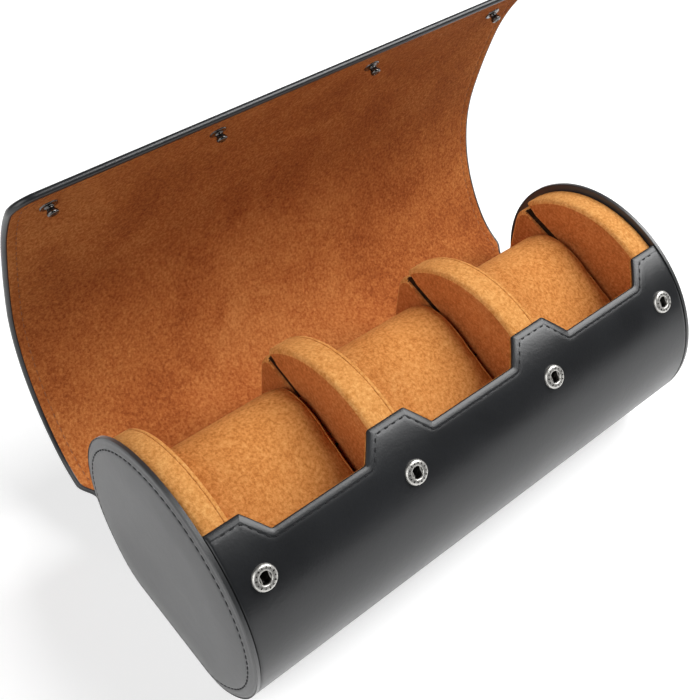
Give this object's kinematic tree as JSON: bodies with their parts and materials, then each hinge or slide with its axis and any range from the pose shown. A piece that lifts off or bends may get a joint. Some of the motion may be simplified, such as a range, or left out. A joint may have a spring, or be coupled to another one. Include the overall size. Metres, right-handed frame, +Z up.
{
  "type": "watch travel case",
  "caption": "Leather travel roll for wrist watches, shown open: a curved snap flap over a round body with suede bays and slide-in cushions.",
  "frame": {"origin": "middle of the flat underside, on the surface it rests on", "axes": "+X runs along the roll from the left cap to the right cap, +Y points to the hinge side, +Z points up"},
  "size_m": [0.205, 0.1334, 0.1484],
  "materials": {
    "body_leather": "black full-grain leather, semi-gloss",
    "cap_leather": "black smooth leather, semi-gloss",
    "flap_leather": "black full-grain leather",
    "fibre_board": "grey-brown fibre board",
    "body_suede": "tan suede",
    "flap_suede": "tan suede, brushed nap",
    "divider_suede": "tan suede",
    "facing_suede": "tan suede",
    "cushion_suede": "tan suede",
    "foam": "firm cream foam",
    "spine_board": "fibre board",
    "snap_metal": "antique silver",
    "spring_wire": "drawn wire",
    "eyelet_metal": "dull nickel",
    "stud_metal": "blackened steel",
    "stud_cap_metal": "antique silver"
  },
  "bodies": {
    "base": {"base_leather": "body_leather", "base_board": "fibre_board", "base_lining": "body_suede", "left_cap_leather": "cap_leather", "left_cap_board": "fibre_board", "right_cap_leather": "cap_leather", "right_cap_board": "fibre_board", "left_end_divider_core": "foam", "left_end_divider_cover": "divider_suede", "left_end_divider_facing": "facing_suede", "left_mid_divider_core": "foam", "left_mid_divider_cover": "divider_suede", "left_mid_divider_facing": "facing_suede", "right_mid_divider_core": "foam", "right_mid_divider_cover": "divider_suede", "right_mid_divider_facing": "facing_suede", "right_end_divider_core": "foam", "right_end_divider_cover": "divider_suede", "snap_sockets": "snap_metal", "socket_springs": "spring_wire", "socket_eyelets": "eyelet_metal"},
    "flap_panel_1": {"flap_leather_1": "flap_leather", "flap_board_1": "fibre_board", "flap_lining_1": "flap_suede"},
    "flap_panel_2": {"flap_leather_2": "flap_leather", "flap_board_2": "fibre_board", "flap_lining_2": "flap_suede"},
    "flap_panel_3": {"flap_leather_3": "flap_leather", "flap_board_3": "fibre_board", "flap_lining_3": "flap_suede"},
    "flap_panel_4": {"flap_leather_4": "flap_leather", "flap_board_4": "fibre_board", "flap_lining_4": "flap_suede"},
    "flap_panel_5": {"flap_leather_5": "flap_leather", "flap_board_5": "fibre_board", "flap_lining_5": "flap_suede", "snap_studs": "stud_metal", "stud_caps": "stud_cap_metal"},
    "left_cushion": {"left_cushion_cover": "cushion_suede", "left_cushion_core": "foam", "left_cushion_spine": "spine_board"},
    "middle_cushion": {"middle_cushion_cover": "cushion_suede", "middle_cushion_core": "foam", "middle_cushion_spine": "spine_board"},
    "right_cushion": {"right_cushion_cover": "cushion_suede", "right_cushion_core": "foam", "right_cushion_spine": "spine_board"}
  },
  "joints": [
    {"name": "flap_hinge", "type": "hinge", "parent": "base", "child": "flap_panel_1", "pos_m": [0, 0.04278, 0.02005], "axis": [-1, 0, 0], "range_deg": [-51.9, 48]},
    {"name": "flap_bend_1", "type": "hinge", "parent": "flap_panel_1", "child": "flap_panel_2", "pos_m": [0, 0.06789, 0.02977], "axis": [-1, 0, 0], "range_deg": [-4.6, 1.27]},
    {"name": "flap_bend_2", "type": "hinge", "parent": "flap_panel_2", "child": "flap_panel_3", "pos_m": [0, 0.08246, 0.05683], "axis": [-1, 0, 0], "range_deg": [-4.9, 1.36]},
    {"name": "flap_bend_3", "type": "hinge", "parent": "flap_panel_3", "child": "flap_panel_4", "pos_m": [0, 0.0844, 0.08755], "axis": [-1, 0, 0], "range_deg": [-22.4, 6.17]},
    {"name": "flap_bend_4", "type": "hinge", "parent": "flap_panel_4", "child": "flap_panel_5", "pos_m": [0, 0.07807, 0.11891], "axis": [-1, 0, 0], "range_deg": [-25.1, 6.9]},
    {"name": "left_cushion_slide", "type": "slide", "parent": "base", "child": "left_cushion", "axis": [0, 0.9781, 0.2079], "range_m": [0, 0.04]},
    {"name": "middle_cushion_slide", "type": "slide", "parent": "base", "child": "middle_cushion", "axis": [0, 0.9781, 0.2079], "range_m": [0, 0.04]},
    {"name": "right_cushion_slide", "type": "slide", "parent": "base", "child": "right_cushion", "axis": [0, 0.9781, 0.2079], "range_m": [0, 0.04]}
  ],
  "couplings": [
    {"joint": "flap_bend_1", "follows": "flap_bend_4", "ratio": 0.18327},
    {"joint": "flap_bend_2", "follows": "flap_bend_4", "ratio": 0.19522},
    {"joint": "flap_bend_3", "follows": "flap_bend_4", "ratio": 0.89243}
  ]
}
